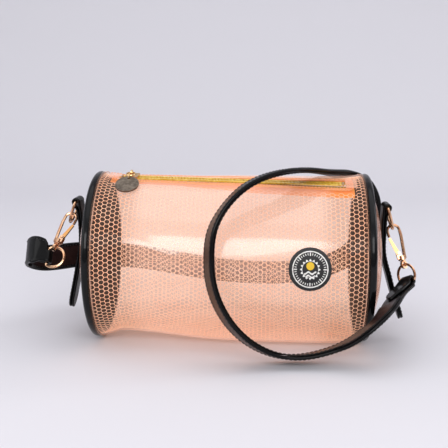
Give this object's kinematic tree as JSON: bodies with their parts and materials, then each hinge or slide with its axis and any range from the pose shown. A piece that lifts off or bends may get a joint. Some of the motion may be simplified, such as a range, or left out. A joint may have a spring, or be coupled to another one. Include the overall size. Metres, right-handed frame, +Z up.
{
  "type": "barrel shoulder bag",
  "caption": "Clear barrel shoulder bag with a net lining, a zip along the top, black piped ends, end tabs with D-rings, and a clip-on leather strap with swivel snap hooks.",
  "frame": {"origin": "on the floor under the middle of the barrel, on the flat of its underside", "axes": "+X along the barrel towards the badge end, -Y to the front, +Z up"},
  "size_m": [0.2823, 0.174, 0.1292],
  "materials": {
    "clear_film": "clear peach-tinted film, glossy",
    "net": "peach hexagonal net with open holes",
    "zip_tape": "woven yellow tape",
    "zip_teeth": "moulded yellow teeth",
    "zip_metal": "pale gold plated, polished",
    "tag_metal": "dark antique brass, worn",
    "zip_cover": "peach film folded and sewn over the tape end",
    "badge_rubber": "matt black soft rubber",
    "badge_print": "matt white raised relief",
    "piping": "black coated piping, satin",
    "panel": "black backing cloth",
    "leather": "black smooth coated leather, painted edges",
    "gold_metal": "rose gold plated, polished",
    "lining": "dark brown lining, satin"
  },
  "bodies": {
    "bag": {"wall_film": "clear_film", "net_lining": "net", "piping_left": "piping", "piping_right": "piping", "end_panel_left": "panel", "end_panel_right": "panel", "end_film_left": "clear_film", "end_film_right": "clear_film", "zip_tape_front": "zip_tape", "zip_tape_rear": "zip_tape", "zip_teeth_front": "zip_teeth", "zip_teeth_rear": "zip_teeth", "zip_stop_right": "zip_metal", "zip_stop_left_front": "zip_metal", "zip_stop_left_rear": "zip_metal", "zip_cover_left": "zip_cover", "zip_cover_right": "zip_cover", "badge_base": "badge_rubber", "badge_ring": "badge_print", "badge_sun": "badge_print", "badge_wave_upper": "badge_print", "badge_wave_lower": "badge_print", "tab_left": "leather", "tab_right": "leather", "swivel_stud_left": "gold_metal", "swivel_stud_right": "gold_metal", "strap_leather": "leather", "strap_lining": "lining"},
    "slider": {"zip_slider": "zip_metal"},
    "pull_ring": {"pull_ring": "zip_metal"},
    "pull_link": {"pull_link": "zip_metal"},
    "pull_tag": {"pull_tag": "tag_metal"},
    "d_ring_left": {"d_ring_left": "gold_metal"},
    "hook_left": {"hook_frame_left": "gold_metal", "hook_rivet_left": "gold_metal"},
    "hook_gate_left": {"hook_gate_left": "gold_metal"},
    "strap_ring_left": {"strap_ring_left": "gold_metal"},
    "d_ring_right": {"d_ring_right": "gold_metal"},
    "hook_right": {"hook_frame_right": "gold_metal", "hook_rivet_right": "gold_metal"},
    "hook_gate_right": {"hook_gate_right": "gold_metal"},
    "strap_ring_right": {"strap_ring_right": "gold_metal"}
  },
  "joints": [
    {"name": "zip_slide", "type": "slide", "parent": "bag", "child": "slider", "axis": [0.9974, -0.0711, -0.0132], "range_m": [0, 0.143]},
    {"name": "pull_ring_hinge", "type": "hinge", "parent": "slider", "child": "pull_ring", "pos_m": [-0.07042, -0.0105, 0.12122], "axis": [-0.9974, 0.0711, 0.0132], "range_deg": [0, 90]},
    {"name": "pull_link_hinge", "type": "hinge", "parent": "pull_ring", "child": "pull_link", "pos_m": [-0.07085, -0.01631, 0.11977], "axis": [-0.9974, 0.0711, 0.0132], "range_deg": [0, 45]},
    {"name": "pull_tag_swing", "type": "hinge", "parent": "pull_link", "child": "pull_tag", "pos_m": [-0.07112, -0.01972, 0.11771], "axis": [-0.0254, -0.5144, 0.8572], "range_deg": [-25, 25]},
    {"name": "d_ring_left_hinge", "type": "hinge", "parent": "bag", "child": "d_ring_left", "pos_m": [-0.112, 0, 0.0989], "axis": [0, 1, 0], "range_deg": [-2.5, 2.5]},
    {"name": "hook_left_swivel", "type": "hinge", "parent": "bag", "child": "hook_left", "pos_m": [-0.12355, -0.01699, 0.07129], "axis": [0.337, 0.587, 0.7361], "range_deg": [-15, 15]},
    {"name": "hook_gate_left_hinge", "type": "hinge", "parent": "hook_left", "child": "hook_gate_left", "pos_m": [-0.12057, -0.01474, 0.07411], "axis": [0, -0.7818, 0.6235], "range_deg": [0, 20], "stiffness_Nm_per_rad": 0.004, "springref_deg": -11.46},
    {"name": "strap_ring_left_hinge", "type": "hinge", "parent": "bag", "child": "strap_ring_left", "pos_m": [-0.12937, -0.02384, 0.06199], "axis": [0, -0.5769, -0.8168], "range_deg": [-2.5, 2.5]},
    {"name": "d_ring_right_hinge", "type": "hinge", "parent": "bag", "child": "d_ring_right", "pos_m": [0.1108, 0, 0.0973], "axis": [0, 1, 0], "range_deg": [-2.5, 2.5]},
    {"name": "hook_right_swivel", "type": "hinge", "parent": "bag", "child": "hook_right", "pos_m": [0.12223, -0.00771, 0.06108], "axis": [-0.29, 0.27, 0.9181], "range_deg": [-25, 25]},
    {"name": "hook_gate_right_hinge", "type": "hinge", "parent": "hook_right", "child": "hook_gate_right", "pos_m": [0.11943, -0.00666, 0.06467], "axis": [0, 0.9594, -0.2822], "range_deg": [0, 20], "stiffness_Nm_per_rad": 0.004, "springref_deg": -11.46},
    {"name": "strap_ring_right_hinge", "type": "hinge", "parent": "bag", "child": "strap_ring_right", "pos_m": [0.12603, -0.01327, 0.04637], "axis": [0.6004, -0.6804, 0.4203], "range_deg": [-2.5, 2.5]}
  ]
}
